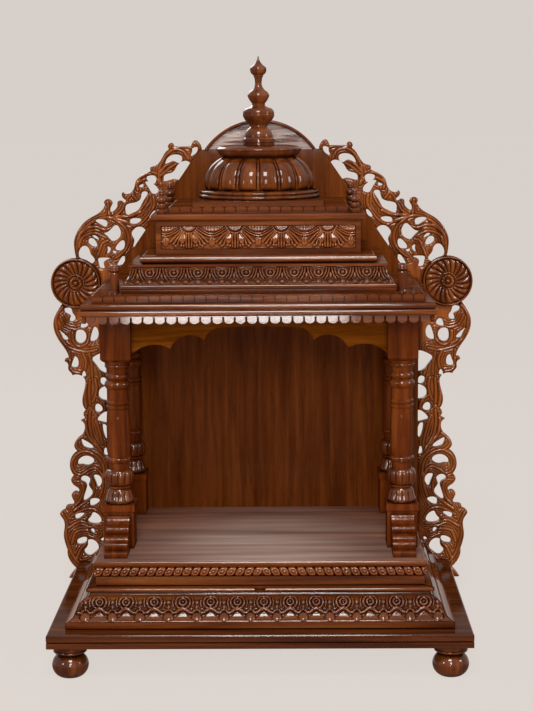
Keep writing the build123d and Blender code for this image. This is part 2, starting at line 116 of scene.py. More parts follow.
def scaled_node(nodes, value, low, high, low_to, high_to):
    """Eases from low_to to high_to as the value goes from low to high."""
    node = nodes.new("ShaderNodeMapRange")
    node.interpolation_type = "SMOOTHSTEP"
    limits = (("From Min", low), ("From Max", high), ("To Min", low_to), ("To Max", high_to))
    for socket, number in limits:
        node.inputs[socket].default_value = number
    link(value, node.inputs["Value"])
    return node.outputs[0]


def axes_of(nodes, vector):
    node = nodes.new("ShaderNodeSeparateXYZ")
    link(vector, node.inputs[0])
    return node.outputs


def surface_normal(nodes):
    return axes_of(nodes, nodes.new("ShaderNodeNewGeometry").outputs["Normal"])


def place_on_object(nodes):
    return axes_of(nodes, nodes.new("ShaderNodeTexCoord").outputs["Object"])


def multiplied(nodes, colour, tint, share=1.0):
    node = nodes.new("ShaderNodeMix")
    node.data_type, node.blend_type = "RGBA", "MULTIPLY"
    node.inputs["Factor"].default_value = share
    link(colour, node.inputs["A"])
    link(tint, node.inputs["B"])
    return node.outputs["Result"]


# Plain pale surroundings
BACKGROUND = (0.680, 0.623, 0.584, 1.0)
FLOOR_MATT = (0.70, 0.645, 0.61, 1.0)
FLOOR_GLOW = 0.93
FLOOR_HALF = 40.0
WORLD_COLOUR, WORLD_STRENGTH = (1.0, 0.97, 0.94, 1.0), 0.07


def shown_to_camera(nodes, output, lit, seen, share):
    """Shade with lit, and by share with seen for rays from the camera, through mirrors and glass."""
    rays = nodes.new("ShaderNodeLightPath").outputs
    direct = math_node(nodes, "MAXIMUM", rays["Is Camera Ray"], rays["Is Glossy Ray"])
    direct = math_node(nodes, "MAXIMUM", direct, rays["Is Transmission Ray"])
    mix = nodes.new("ShaderNodeMixShader")
    link(product(nodes, direct, share), mix.inputs[0])
    link(lit.outputs[0], mix.inputs[1])
    link(seen.outputs[0], mix.inputs[2])
    link(mix.outputs[0], nodes.new(output).inputs[0])


def add_surroundings():
    floor_mesh = bpy.data.meshes.new("studio_floor")
    corners = [(-1, -1), (1, -1), (1, 1), (-1, 1)]
    floor_mesh.from_pydata([(x * FLOOR_HALF, y * FLOOR_HALF, 0) for x, y in corners],
                           [], [(0, 1, 2, 3)])
    floor = bpy.data.objects.new("studio_floor", floor_mesh)
    bpy.context.scene.collection.objects.link(floor)
    mat = bpy.data.materials.new("studio_floor")
    nodes = empty_tree(mat)
    matt = nodes.new("ShaderNodeBsdfDiffuse")
    matt.inputs["Color"].default_value = FLOOR_MATT
    glow = nodes.new("ShaderNodeEmission")
    glow.inputs["Color"].default_value = tuple(c / FLOOR_GLOW for c in BACKGROUND[:3]) + (1.0,)
    shown_to_camera(nodes, "ShaderNodeOutputMaterial", matt, glow, FLOOR_GLOW)
    floor_mesh.materials.append(mat)

    world = bpy.data.worlds.new("world")
    bpy.context.scene.world = world
    nodes = empty_tree(world)
    light = nodes.new("ShaderNodeBackground")
    light.inputs["Color"].default_value = WORLD_COLOUR
    light.inputs["Strength"].default_value = WORLD_STRENGTH
    seen = nodes.new("ShaderNodeBackground")
    seen.inputs["Color"].default_value = BACKGROUND
    shown_to_camera(nodes, "ShaderNodeOutputWorld", light, seen, 1.0)


# Lamps: name, place, target, width and height, watts. The two glints are low and narrow, where the
# camera sees them mirrored in the crest board and in the hanging trim.
SHRINE_MIDDLE, CREST, TRIM = (0, 0, 0.5), (0, 0, 0.9), (0, 0, 0.6)
LAMPS = (
    ("key", (-0.08, -2.3, 3.2), SHRINE_MIDDLE, (1.05, 1.15), 84),
    ("front", (0.1, -3.3, 1.75), SHRINE_MIDDLE, (0.75, 0.85), 38),
    ("fill", (-2.6, -2.4, 1.6), SHRINE_MIDDLE, (0.5, 0.7), 18),
    ("crest_glint", (-0.04, -3.6, 0.874), CREST, (0.5, 0.09), 14),
    ("trim_glint", (-0.15, -3.6, 0.188), TRIM, (0.85, 0.036), 3.1),
    ("side", (2.8, -1.0, 1.7), SHRINE_MIDDLE, (0.6, 0.8), 22),
    ("rear", (-1.0, 2.9, 2.3), SHRINE_MIDDLE, (1.8, 1.3), 38),
)
LAMP_COLOUR = (1.0, 0.98, 0.95)


def add_lights():
    for name, place, target, size, watts in LAMPS:
        data = bpy.data.lights.new(name, "AREA")
        data.shape = "RECTANGLE"
        data.size, data.size_y = size
        data.energy = watts
        data.color = LAMP_COLOUR
        lamp = bpy.data.objects.new(name, data)
        bpy.context.scene.collection.objects.link(lamp)
        aim = (Vector(target) - Vector(place)).to_track_quat("-Z", "Y")
        lamp.matrix_world = Matrix.Translation(place) @ aim.to_matrix().to_4x4()


add_camera()
add_surroundings()
add_lights()
bpy.context.scene.view_settings.view_transform = "Standard"


# Lacquered wood. A list of stops is a colour ramp; a row of four is what scaled_node takes.
ALONG_GRAIN = 0.06
GRAIN_SCALE = {"x": (ALONG_GRAIN, 1.0, 1.0), "y": (1.0, ALONG_GRAIN, 1.0),
               "z": (1.0, 1.0, ALONG_GRAIN)}
SHIFT_SKEW = (1.0, 0.7, 1.3)
MITRE_NORMAL = 0.6
GRAIN_PLACES, GRAIN_DISTORTION = (0.30, 0.52, 0.74), 0.6
PORE_SCALE, PORE_ROUGH, PORE_SHARE, PORE_DEPTH = 620.0, 0.6, 0.8, 0.25
PORE_STOPS = [(0.36, (0.72, 0.66, 0.62)), (0.50, (1.0, 1.0, 1.0))]
PLANK_STOPS = [(0.0, (0.86, 0.83, 0.8)), (1.0, (1.08, 1.06, 1.04))]
# Painted shade: ambient occlusion darkens the wood's colour in corners and crevices
CREVICE_REACH, CREVICE_SHARE, CREVICE_SAMPLES = 0.009, 0.9, 4
CREVICE_STOPS = [(0.35, (0.16, 0.11, 0.09)), (0.86, (1.0, 1.0, 1.0))]
# The cavity ramp paints shade into carved grooves and a painted highlight on raised parts
CAVITY_SHADE_STOPS = [(0.42, (1.25, 1.2, 1.15)), (0.55, (1.0, 1.0, 1.0)), (0.85, (0.14, 0.09, 0.07))]
# Painted reflection: a pale colour mixed into the wood as streaks on the crest board and a glare on the
# floor board
REFLECTION_COLOUR, REFLECTION_FACING, REFLECTION_SHIFT = (0.62, 0.48, 0.43, 1.0), 0.9, 5.0
CREST_STREAK, CREST_REFLECTION = 110.0, (0.44, 0.57, 0.0, 1.0)
FLOOR_STREAK = 38.0
FLOOR_REFLECTION_ASIDE, FLOOR_REFLECTION_BACK = (0.02, 0.26, 1.0, 0.35), (-0.16, 0.22, 1.0, 0.4)
FLAT_TOP_WEAR = (0.90, 0.99, 1.0, 0.35)
GROOVE_WEAR = (0.48, 0.62, 1.0, 0.12)
COAT_IOR = 1.55
RIPPLE_SHIFT = 3.0
UPWARD, FORWARD = (2, 0.05, 0.30), (1, -0.6, -0.9)


def grain_vector(nodes, grain, shift):
    """Object coordinates squeezed along the grain; a mitred run turns its grain at the sides."""
    coord = nodes.new("ShaderNodeTexCoord")

    def squeezed(axis):
        node = nodes.new("ShaderNodeMapping")
        node.inputs["Scale"].default_value = GRAIN_SCALE[axis]
        node.inputs["Location"].default_value = [shift * skew for skew in SHIFT_SKEW]
        link(coord.outputs["Object"], node.inputs["Vector"])
        return node.outputs[0]

    if grain != "mitred":
        return squeezed(grain)
    sideways = math_node(nodes, "ABSOLUTE", axes_of(nodes, coord.outputs["Normal"])[0])
    mix = nodes.new("ShaderNodeMix")
    mix.data_type = "VECTOR"
    link(math_node(nodes, "GREATER_THAN", sideways, MITRE_NORMAL), mix.inputs["Factor"])
    vectors = [s for s in mix.inputs if s.type == "VECTOR" and s.name in ("A", "B")]
    link(squeezed("x"), vectors[0])
    link(squeezed("y"), vectors[1])
    return [s for s in mix.outputs if s.type == "VECTOR"][0]


def plank_shade(nodes, width):
    """A shade of its own for each plank of a board glued up along X."""
    plank = math_node(nodes, "FLOOR", math_node(nodes, "DIVIDE", place_on_object(nodes)[0], width))
    random = nodes.new("ShaderNodeTexWhiteNoise")
    random.noise_dimensions = "1D"
    link(plank, random.inputs["W"])
    return ramp_node(nodes, random.outputs["Value"], PLANK_STOPS)


# Painted shade: the colour darkens where ambient occlusion finds corners and crevices
def crevice_painted_shade(nodes):
    hollow = nodes.new("ShaderNodeAmbientOcclusion")
    hollow.samples = CREVICE_SAMPLES
    hollow.inputs["Distance"].default_value = CREVICE_REACH
    return ramp_node(nodes, hollow.outputs["AO"], CREVICE_STOPS)


def painted_reflection(nodes, colour, grain, shift, reflection_amount, on_front):
    """Painted reflection on the wood: pale streaks painted on the front of the crest, or a painted
    glare on the upward face of the floor that fades to the sides and the back."""
    axis, sign = (1, -1.0) if on_front else (2, 1.0)
    toward = product(nodes, surface_normal(nodes)[axis], sign)
    facing = math_node(nodes, "GREATER_THAN", toward, REFLECTION_FACING)
    streak = noise_node(nodes, grain_vector(nodes, grain, shift + REFLECTION_SHIFT),
                        CREST_STREAK if on_front else FLOOR_STREAK)
    if on_front:
        amount = product(nodes, scaled_node(nodes, streak, *CREST_REFLECTION), reflection_amount)
    else:
        spot = place_on_object(nodes)
        aside = scaled_node(nodes, math_node(nodes, "ABSOLUTE", spot[0]), *FLOOR_REFLECTION_ASIDE)
        spread = product(nodes, aside, scaled_node(nodes, spot[1], *FLOOR_REFLECTION_BACK))
        amount = product(nodes, spread, product(nodes, streak, 2 * reflection_amount))
    reflection = nodes.new("ShaderNodeMix")
    reflection.data_type = "RGBA"
    link(product(nodes, facing, amount), reflection.inputs["Factor"])
    link(colour, reflection.inputs["A"])
    reflection.inputs["B"].default_value = REFLECTION_COLOUR
    return reflection.outputs["Result"]


def coat_weight(nodes, coat, gloss, polished, cavity):
    """From coat to gloss as the normal turns along the polished axis; flat tops are worn, and the
    lacquer lies thin in carved grooves."""
    axis, none, full = polished
    normal = surface_normal(nodes)
    weight = product(nodes, scaled_node(nodes, normal[axis], none, full, coat, gloss),
                     scaled_node(nodes, normal[2], *FLAT_TOP_WEAR))
    if cavity is not None:
        weight = product(nodes, weight, scaled_node(nodes, cavity, *GROOVE_WEAR))
    return weight


def rippled_normal(nodes, grain, shift, wave, pores):
    """The lacquer's ripple: wave is its strength, depth and scale."""
    strength, depth, scale = wave
    ripple = noise_node(nodes, grain_vector(nodes, grain, shift + RIPPLE_SHIFT), scale)
    height = math_node(nodes, "ADD", product(nodes, pores, PORE_DEPTH), ripple)
    node = nodes.new("ShaderNodeBump")
    node.inputs["Strength"].default_value = strength
    node.inputs["Distance"].default_value = depth
    link(height, node.inputs["Height"])
    return node.outputs[0]


def wood(name, grain, dark, middle, light, rough=0.5, coat=0.2, gloss=0.72, polished=UPWARD,
         coat_rough=0.07, shift=0.0, crevice=True, figure=55.0, planks=0.0, carved=False, reflection_amount=0.0,
         reflection_on_front=False, wave=(0.22, 0.0006, 140.0)):
    """Lacquered wood. figure is the scale of its grain bands and planks the width of its boards; a
    carved mesh brings the attribute "cavity", 0.5 on level wood and more in grooves."""
    mat = bpy.data.materials.new(name)
    nodes = empty_tree(mat)
    shader = nodes.new("ShaderNodeBsdfPrincipled")
    link(shader.outputs[0], nodes.new("ShaderNodeOutputMaterial").inputs[0])
    vector = grain_vector(nodes, grain, shift)
    bands = noise_node(nodes, vector, figure, distortion=GRAIN_DISTORTION)
    colour = ramp_node(nodes, bands, list(zip(GRAIN_PLACES, (dark, middle, light))))
    pores = noise_node(nodes, vector, PORE_SCALE, PORE_ROUGH)
    colour = multiplied(nodes, colour, ramp_node(nodes, pores, PORE_STOPS), PORE_SHARE)
    if planks:
        colour = multiplied(nodes, colour, plank_shade(nodes, planks))
    # Painted shade in corners and crevices
    if crevice:
        colour = multiplied(nodes, colour, crevice_painted_shade(nodes), CREVICE_SHARE)
    cavity = None
    if carved:
        attribute = nodes.new("ShaderNodeAttribute")
        attribute.attribute_name = "cavity"
        cavity = attribute.outputs["Fac"]
        # Painted shade in the carved grooves and a painted highlight on raised parts
        colour = multiplied(nodes, colour, ramp_node(nodes, cavity, CAVITY_SHADE_STOPS))
    # Painted reflection
    if reflection_amount:
        colour = painted_reflection(nodes, colour, grain, shift, reflection_amount, reflection_on_front)
    link(colour, shader.inputs["Base Color"])
    shader.inputs["Roughness"].default_value = rough
    shader.inputs["Specular IOR Level"].default_value = 0.0
    shader.inputs["Coat Weight"].default_value = coat
    if gloss != coat:
        link(coat_weight(nodes, coat, gloss, polished, cavity), shader.inputs["Coat Weight"])
    shader.inputs["Coat Roughness"].default_value = coat_rough
    shader.inputs["Coat IOR"].default_value = COAT_IOR
    normal = rippled_normal(nodes, grain, shift, wave, pores)
    link(normal, shader.inputs["Normal"])
    link(normal, shader.inputs["Coat Normal"])
    return mat


DARK, MIDDLE, LIGHT = (0.062, 0.014, 0.0035), (0.125, 0.030, 0.0065), (0.205, 0.060, 0.013)
carved_x = wood("teak_mitred", "mitred", DARK, MIDDLE, LIGHT)
carved_z = wood("teak_upright", "z", (0.058, 0.011, 0.0018), (0.115, 0.023, 0.0035),
                (0.185, 0.045, 0.007), shift=1.7, coat=0.1)
# The slab's wood is a darker copy of the teak, a painted shade over the low base
slab_wood = wood("teak_slab", "x", (0.042, 0.0095, 0.0025), (0.085, 0.020, 0.0045),
                 (0.14, 0.040, 0.009), shift=6.6)
# The crest's pale streaks are painted reflection
crest_wood = wood("teak_crest", "x", (0.045, 0.010, 0.004), (0.085, 0.020, 0.008),
                  (0.13, 0.036, 0.014), shift=3.3, coat=0.1, gloss=1.0, polished=FORWARD,
                  wave=(0.9, 0.004, 60.0), reflection_amount=0.5, reflection_on_front=True)
trim_wood = wood("teak_trim", "x", DARK, MIDDLE, LIGHT, shift=3.9, coat=0.1, gloss=1.0,
                 polished=FORWARD, wave=(0.08, 0.0003, 60.0))
carved_y = wood("teak_side", "y", DARK, MIDDLE, LIGHT, shift=0.9)
turned_wood = wood("teak_turned", "z", (0.055, 0.012, 0.003), (0.105, 0.024, 0.005),
                   (0.17, 0.045, 0.01), shift=4.1)
panel_z = wood("teak_back_planks", "z", (0.075, 0.017, 0.003), (0.12, 0.029, 0.005),
               (0.165, 0.045, 0.009), planks=0.079, figure=78.0, coat=0.05, gloss=0.05,
               crevice=False)
# The floor's pale glare is painted reflection
floor_wood = wood("teak_floor", "x", DARK, MIDDLE, LIGHT, shift=2.2, coat_rough=0.1,
                  crevice=False, reflection_amount=0.52)
golden = wood("teak_golden", "x", (0.10, 0.025, 0.002), (0.17, 0.046, 0.004),
              (0.25, 0.08, 0.009), shift=5.3, figure=75.0, coat=0.0, gloss=0.0)
plain = wood("teak_drawer_box", "x", (0.26, 0.13, 0.06), (0.34, 0.18, 0.085),
             (0.42, 0.24, 0.12), coat=0.0, gloss=0.0, rough=0.6, shift=6.1, crevice=False)
relief_wood = wood("teak_relief", "z", (0.10, 0.024, 0.005), (0.19, 0.050, 0.010),
                   (0.29, 0.090, 0.020), shift=7.7, carved=True, gloss=0.95)
relief_dome = wood("teak_dome", "z", (0.047, 0.0105, 0.0025), (0.092, 0.022, 0.004),
                   (0.158, 0.046, 0.009), shift=9.1, carved=True, gloss=0.58, coat=0.1)
relief_rosette = wood("teak_rosette", "z", (0.070, 0.016, 0.0035), (0.135, 0.034, 0.007),
                      (0.21, 0.064, 0.014), shift=3.1, carved=True)
relief_turned = wood("teak_petals", "z", (0.050, 0.011, 0.0025), (0.095, 0.022, 0.0045),
                     (0.155, 0.044, 0.009), shift=4.6, carved=True, gloss=1.0)
relief_low = wood("teak_relief_low", "x", (0.055, 0.013, 0.003), (0.105, 0.027, 0.006),
                  (0.17, 0.052, 0.012), shift=8.9, carved=True, gloss=0.7, coat=0.16,
                  wave=(0.45, 0.001, 120.0))
relief_x = wood("teak_relief_band", "x", (0.095, 0.023, 0.005), (0.18, 0.048, 0.010),
                (0.28, 0.090, 0.020), shift=8.4, carved=True, gloss=1.0, coat=0.45)

# The first row whose start fits a node's name gives its wood
WOOD_OF = (
    ("arch_board", golden), ("crest_board", crest_wood), ("back_board", panel_z),
    ("floor_board", floor_wood), ("drawer_tray", plain), ("base_slab", slab_wood),
    ("trim_front", trim_wood), ("dome_plinth", carved_x),
    (("base_moulding", "trim_left", "trim_right"), carved_y),
    (("pillar", "console", "wing", "rosette"), carved_z),
    (("foot", "finial", "knob", "corner_finial", "dome"), turned_wood),
    ("", carved_x),
)
for node_name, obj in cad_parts.items():
    mat = next(mat for start, mat in WOOD_OF if node_name.startswith(start))
    if obj.data.materials:
        for i in range(len(obj.data.materials)):
            obj.data.materials[i] = mat
    else:
        obj.data.materials.append(mat)


# Carving helpers. Heights stand out of a base surface.
LEVEL = 0.5
REAR_ROWS = 7


def add_piece(name, points, faces, mat, cavity=None, body="shrine"):
    mesh = bpy.data.meshes.new(name)
    mesh.from_pydata((np.asarray(points) * MM).tolist(), [], faces)
    mesh.validate()
    mesh.polygons.foreach_set("use_smooth", [True] * len(mesh.polygons))
    if cavity is not None:
        layer = mesh.attributes.new("cavity", "FLOAT", "POINT")
        layer.data.foreach_set("value", np.clip(cavity, 0, 1).astype(np.float32).ravel())
    mesh.materials.append(mat)
    mesh.update()
    piece = bpy.data.objects.new(name, mesh)
    bpy.context.scene.collection.objects.link(piece)
    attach(piece, body)
    return piece


def blurred(height, reach, wrap=False):
    """Box blur over reach cells each way."""
    result = height
    for axis in (0, 1):
        pads = [(0, 0), (0, 0)]
        pads[axis] = (reach, reach)
        mode = "wrap" if wrap and axis == 0 else "edge"
        padded = np.pad(result, pads, mode=mode)
        sums = np.cumsum(padded, axis=axis)
        zero = np.zeros_like(np.take(sums, [0], axis=axis))
        sums = np.concatenate([zero, sums], axis=axis)
        count = height.shape[axis]
        upper = np.take(sums, np.arange(2 * reach + 1, 2 * reach + 1 + count), axis=axis)
        lower = np.take(sums, np.arange(count), axis=axis)
        result = (upper - lower) / (2 * reach + 1)
    return result


def cavity_of(height, reach, strength, wrap=False):
    """LEVEL where the wood is level, more below its surroundings and less above them."""
    return LEVEL + strength * (blurred(height, reach, wrap) - height)


def grid_faces(columns, rows, start=0, closed=False, flip=False):
    faces = []
    last = columns if closed else columns - 1
    for i in range(last):
        a, b = start + i * rows, start + ((i + 1) % columns) * rows
        for j in range(rows - 1):
            quad = (a + j, b + j, b + j + 1, a + j + 1)
            faces.append(quad[::-1] if flip else quad)
    return faces


def closed_turning(columns, rows):
    """Faces of a grid closed round its columns, with its first and last rows capped."""
    faces = grid_faces(columns, rows, closed=True)
    faces.append([i * rows for i in range(columns)][::-1])
    faces.append([i * rows + rows - 1 for i in range(columns)])
    return faces


def relief_band(name, base, normal, height, back, mat, body="shrine", reach=3, strength=0.28):
    """Closed relief on a surface: base and normal are columns x rows x 3, height columns x rows.
    Seen from outside, columns run to the right and rows run up."""
    columns, rows = height.shape
    front = base + normal * height[..., None]
    keep = sorted(set(np.linspace(0, rows - 1, REAR_ROWS).astype(int)))
    rear = (base - normal * back)[:, keep]
    points = np.concatenate([front.reshape(-1, 3), rear.reshape(-1, 3)])
    second = columns * rows
    depth = len(keep)
    faces = grid_faces(columns, rows)
    faces += grid_faces(columns, depth, second, flip=True)
    for i in range(columns - 1):
        low_a, low_b = i * rows, (i + 1) * rows
        faces.append((low_b, low_a, second + i * depth, second + (i + 1) * depth))
        top_a, top_b = low_a + rows - 1, low_b + rows - 1
        faces.append((top_a, top_b, second + (i + 1) * depth + depth - 1,
                      second + i * depth + depth - 1))
    first_column = list(range(rows))
    faces.append(first_column + [second + j for j in range(depth - 1, -1, -1)])
    last_start, last_rear = (columns - 1) * rows, second + (columns - 1) * depth
    faces.append([last_start + j for j in range(rows - 1, -1, -1)]
                 + [last_rear + j for j in range(depth)])
    cavity = np.concatenate([cavity_of(height, reach, strength).ravel(),
                             np.full(columns * depth, LEVEL)])
    return add_piece(name, points, faces, mat, cavity, body)


def rounded(far, reach):
    """Half-round section: 1 where far is 0, falling to 0 at reach."""
    return np.sqrt(np.clip(1 - (far / reach) ** 2, 0, None))


def bump(x, z, centre, radii, height, turn=0.0):
    """Ellipsoid cap."""
    cosine, sine = math.cos(turn), math.sin(turn)
    dx, dz = x - centre[0], z - centre[1]
    along, across = dx * cosine + dz * sine, dz * cosine - dx * sine
    return height * np.sqrt(np.clip(1 - (along / radii[0]) ** 2 - (across / radii[1]) ** 2, 0, None))


def ring(x, z, centre, radius, width, height):
    return height * rounded(np.hypot(x - centre[0], z - centre[1]) - radius, width)


def rod(x, z, points, width, height, end_width=None):
    """Rounded stroke along a polyline, tapering to end_width."""
    result = np.zeros_like(x)
    count = len(points) - 1
    end_width = width if end_width is None else end_width
    for i in range(count):
        (ax, az), (bx, bz) = points[i], points[i + 1]
        vx, vz = bx - ax, bz - az
        t = np.clip(((x - ax) * vx + (z - az) * vz) / (vx * vx + vz * vz), 0, 1)
        far = np.hypot(x - ax - t * vx, z - az - t * vz)
        wide = width + (end_width - width) * (i + t) / count
        result = np.maximum(result, height * rounded(far, wide))
    return result


def arc_run(start, end, sagitta, count):
    """Points along an arc; positive sagitta bows to the left of travel."""
    start, end = np.array(start, float), np.array(end, float)
    t = np.linspace(0, 1, count)[:, None]
    chord = end - start
    left = np.array([-chord[1], chord[0]]) / np.hypot(*chord)
    return start + chord * t + left * (4 * sagitta * t * (1 - t))


def front_band(profile, half_at, spacing):
    """Base points and outward normals of a moulding that runs along X, with the distance along X
    and up the profile of each. profile holds (y, z), and half_at gives the half length at y."""
    profile = np.asarray(profile)
    reach = half_at(profile[:, 0])
    columns = int(2 * reach.max() / spacing)
    share = np.linspace(-1, 1, columns)[:, None]
    base = np.zeros((columns, len(profile), 3))
    base[..., 0] = share * reach[None, :]
    base[..., 1], base[..., 2] = profile[None, :, 0], profile[None, :, 1]
    run = np.gradient(profile, axis=0)
    run /= np.hypot(run[:, 0], run[:, 1])[:, None]
    normal = np.zeros_like(base)
    normal[..., 1], normal[..., 2] = -run[None, :, 1], run[None, :, 0]
    steps = np.hypot(*np.diff(profile, axis=0).T)
    along = np.concatenate([[0], np.cumsum(steps)])
    return base, normal, base[..., 0], np.broadcast_to(along[None, :], base.shape[:2])


def from_edges(v, width):
    """Rises from 0 at the band's lower and upper edge to 1 at width from them."""
    return np.clip(np.minimum(v, v.max() - v) / width, 0, 1)


# Bands of relief. In each, a is the distance from the middle of the nearest motif, v the distance
# up the moulding, and side the middle between two motifs. Each stroke is drawn by such places,
# then by its widths and its height.
FRONT, BACK = -250.0, 234.0
SLAB_HALF = 381.0
EAVE_FRONT, FRIEZE_HALF = -115, 248

# Flowers listed one by one, by distance from the middle; the outer two lie past the ends
FLOWER_X = (-340, -290, -242, -191, -139, -89, -40.5, 7, 54.5, 101.5, 150, 198.5, 246, 295, 345)
FLOWER_PITCH = 48.6


def ogee_carving():
    """Front of the drawer: ringed flowers and drops over leaf lobes, with tents between knobs."""
    lower, upper = (FRONT + 34, 99.0), (FRONT + 66, 136.5)
    bow, steps, mitre, spacing, back, ground, edge = 3, 30, 3.5, 1.05, 2.0, 0.25, 2.0
    middle = ((lower[0] + upper[0]) / 2, (lower[1] + upper[1]) / 2)
    run = np.vstack([arc_run(lower, middle, -bow, steps), arc_run(middle, upper, bow, steps)[1:]])
    base, normal, x, v = front_band(run, lambda y: SLAB_HALF - (y - FRONT) - mitre, spacing)
    index = np.interp(x, FLOWER_X, np.arange(len(FLOWER_X)))
    a = np.abs(index - np.round(index)) * FLOWER_PITCH
    side, heart, cut_below = FLOWER_PITCH / 2, (0.0, 38.5), 28
    button = bump(a, v, heart, (2.7, 2.7), 3.7)
    inner_ring = ring(a, v, heart, 6.0, 2.1, 3.1)
    outer_ring = ring(a, v, heart, 12.4, 2.3, 2.9) * (v > cut_below)
    lobe = rod(a, v, [(0, 27.0), (6, 24.5), (12, 19.5), (17, 18.5), (20.5, 23.5)], 4.2, 3.8, 2.4)
    leaf = rod(a, v, [(15.6, 47), (18.0, 39), (16.4, 30)], 1.5, 2.4)
    drop = bump(a, v, (side, 38), (3.8, 5.0), 3.0)
    stalk = rod(a, v, [(side, 30), (side, 24)], 3.0, 2.4, 2.0)
    knob = bump(a, v, (side, 10.5), (8.8, 9.8), 3.8)
    tent_top, tent_slope, tent_bevel, tent_height = 24, 1.05, 1.6, 0.9
    tent = tent_height * np.clip((tent_top - tent_slope * a - v) / tent_bevel, 0, 1)
    parts = [button, inner_ring, outer_ring, lobe, leaf, drop, stalk, knob, tent]
    height = (np.maximum.reduce(parts) + ground) * from_edges(v, edge)
    relief_band("base_carving", base, normal, height, back, relief_low, "drawer")


def frieze_carving():
    """Front of the frieze: bell palmettes between curls, with buds below both."""
    lower, upper = (EAVE_FRONT + 3, 696.8), (EAVE_FRONT + 16, 727.3)
    bow, steps, mitre, spacing, back, ground, edge = 4, 40, 1.5, 1.0, 2.0, 0.2, 1.3
    run = arc_run(lower, upper, -bow, steps)
    base, normal, x, v = front_band(run, lambda y: FRIEZE_HALF - (y - EAVE_FRONT) - mitre, spacing)
    pitch = 43.6
    a = np.abs((x + pitch / 2) % pitch - pitch / 2)
    side, curl, cut_above = pitch / 2, (pitch / 2, 23.5), 29
    parts = [
        bump(a, v, (0, 5.2), (5.0, 4.8), 3.4), bump(a, v, (side, 6.2), (4.8, 5.0), 2.8),
        ring(a, v, curl, 7.2, 1.9, 2.5) * (v < cut_above), bump(a, v, curl, (3.2, 3.2), 2.6),
        bump(a, v, (0, 17.5), (2.6, 6.6), 2.8),
        rod(a, v, [(2.6, 31), (3.4, 24), (6.4, 15.5), (10.2, 9.5)], 1.9, 3.3, 1.7),
        rod(a, v, [(7.2, 31), (7.9, 25), (10.8, 17.5), (15.2, 12.5)], 1.7, 3.1, 1.5),
        rod(a, v, [(14.5, 5.0), (11.0, 3.2)], 1.8, 2.2),
    ]
    height = (np.maximum.reduce(parts) + ground) * from_edges(v, edge)
    relief_band("frieze_carving", base, normal, height, back, relief_low)


def panel_carving():
    """Half daisies that hang from the top edge, with swags, lens fields and buds between them."""
    half, low, high, face, steps = 177.5, 756.0, 798.0, -57.0, 52
    spacing, back, ground, tallest, edge = 0.8, 1.5, 0.12, 2.95, 1.2
    run = np.stack([np.full(steps, face), np.linspace(low, high, steps)], axis=1)
    base, normal, x, v = front_band(run, lambda y: half + 0 * y, spacing)
    pitch, top = 84.6, high - low
    a = np.abs(x % pitch - pitch / 2)
    side = pitch / 2
    slant, bevel = 0.195, 1.8

    def facet(centre, radii, start, rise=0.7, turn=0.0):
        """Flat field inside an oval that leans back from start upwards and so mirrors the lamps."""
        field = rise + slant * (start - v)
        return np.clip(field, 0, None) * np.clip(bump(a, v, centre, radii, 1.0, turn) * bevel, 0, 1)

    seed, seed_height = 2 * math.pi / 4.4, 0.24
    seeds = facet((0.0, top + 1.5), (13.0, 11.5), top)
    seeds += seed_height * np.cos(x * seed) * np.cos(v * seed) * (seeds > 0.7)
    lens_rise, lens_curve, flute_height, flute = 0.6, 0.0135, 0.13, 1.2
    lens = lens_rise + lens_curve * (top - v) ** 2 + flute_height * np.cos(a * flute)
    lens *= np.clip(bump(a, v, (side, top + 1), (21.5, 11.5), bevel), 0, 1)
    cleft = 1 - 0.35 * np.exp(-((a - side) / 0.8) ** 2)
    collar = ring(a, v, (0.0, top + 3.0), 16.2, 1.3, 2.3) * (v > 20)
    daisy = [
        rod(a, v, [(0, top - 13), (0, top - 28), (0, 2.5)], 2.0, 2.9, 2.3),
        rod(a, v, [(3.8, top - 13), (5.2, top - 28), (4.6, 3.2)], 1.6, 2.8, 1.8),
        facet((11.2, top - 22), (5.4, 11.0), top - 11, 0.6, 0.16),
        rod(a, v, [(10.0, top - 12.5), (17.5, top - 24), (21, top - 35)], 1.4, 2.8, 2.0),
        rod(a, v, [(11.8, top - 11), (20, top - 21), (28.5, top - 33)], 1.6, 2.9, 2.6),
        rod(a, v, [(13.6, top - 9), (23, top - 17), (34, top - 29)], 1.6, 2.9, 2.8),
    ]
    swags = [
        rod(a, v, [(15, top - 5.5), (25, top - 12.5), (35, top - 17.5), (side, top - 18.5)],
            1.7, 2.9),
        rod(a, v, [(17, top - 2), (26.5, top - 9), (35.5, top - 13.5), (side, top - 14.5)],
            1.4, 2.7),
    ]
    buds = [
        bump(a, v, (side, top - 28.5), (5.8, 10.0), 2.9) * cleft,
        bump(a, v, (9.5, 5.5), (2.2, 3.4), 2.5), bump(a, v, (14.2, 6.2), (2.2, 3.6), 2.5),
        bump(a, v, (24.5, 5.0), (2.6, 3.0), 2.3),
    ]
    height = np.maximum.reduce([seeds, collar, lens] + daisy + swags + buds) + ground
    height = np.minimum(height, tallest)
    inside = np.clip(np.minimum(np.minimum(v, top - v), half - np.abs(x)) / edge, 0, 1)
    relief_band("panel_carving", base, normal, height * inside, back, relief_x)


